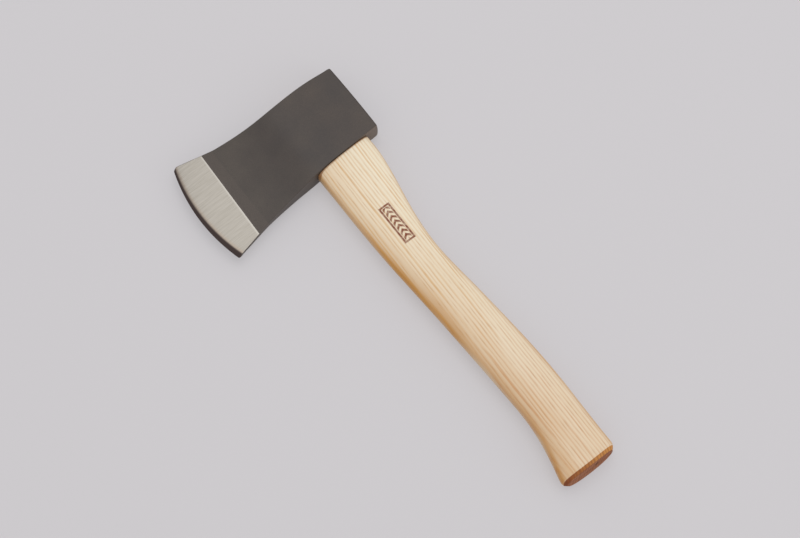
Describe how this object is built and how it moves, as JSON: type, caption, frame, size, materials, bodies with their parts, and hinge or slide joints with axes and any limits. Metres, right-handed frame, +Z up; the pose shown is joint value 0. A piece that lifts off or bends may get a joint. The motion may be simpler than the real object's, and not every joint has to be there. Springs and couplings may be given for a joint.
{
  "type": "hatchet",
  "caption": "Short hatchet: forged wedge-shaped steel head with flat poll and curved ground edge, wedged on a curved wooden handle with a flared butt.",
  "frame": {"origin": "on the lower cheek of the head, under the middle of the eye, in the plane that the hatchet lies on", "axes": "+Z up, away from the surface it lies on; +Y along the handle from the butt to the top of the head; +X from the cutting edge to the poll"},
  "size_m": [0.1505, 0.371, 0.023],
  "materials": {
    "head": "satin dark grey-brown lacquer on the cheeks, fine-ground bright steel on the blade",
    "handle": "smooth sanded pale ash, grain along the handle, oiled",
    "wooden_wedge": "sawn beech",
    "steel_wedge": "plain rolled steel"
  },
  "bodies": {
    "root": {"head": "head", "handle": "handle", "wooden_wedge": "wooden_wedge", "steel_wedge_front": "steel_wedge", "steel_wedge_rear": "steel_wedge"}
  },
  "joints": []
}
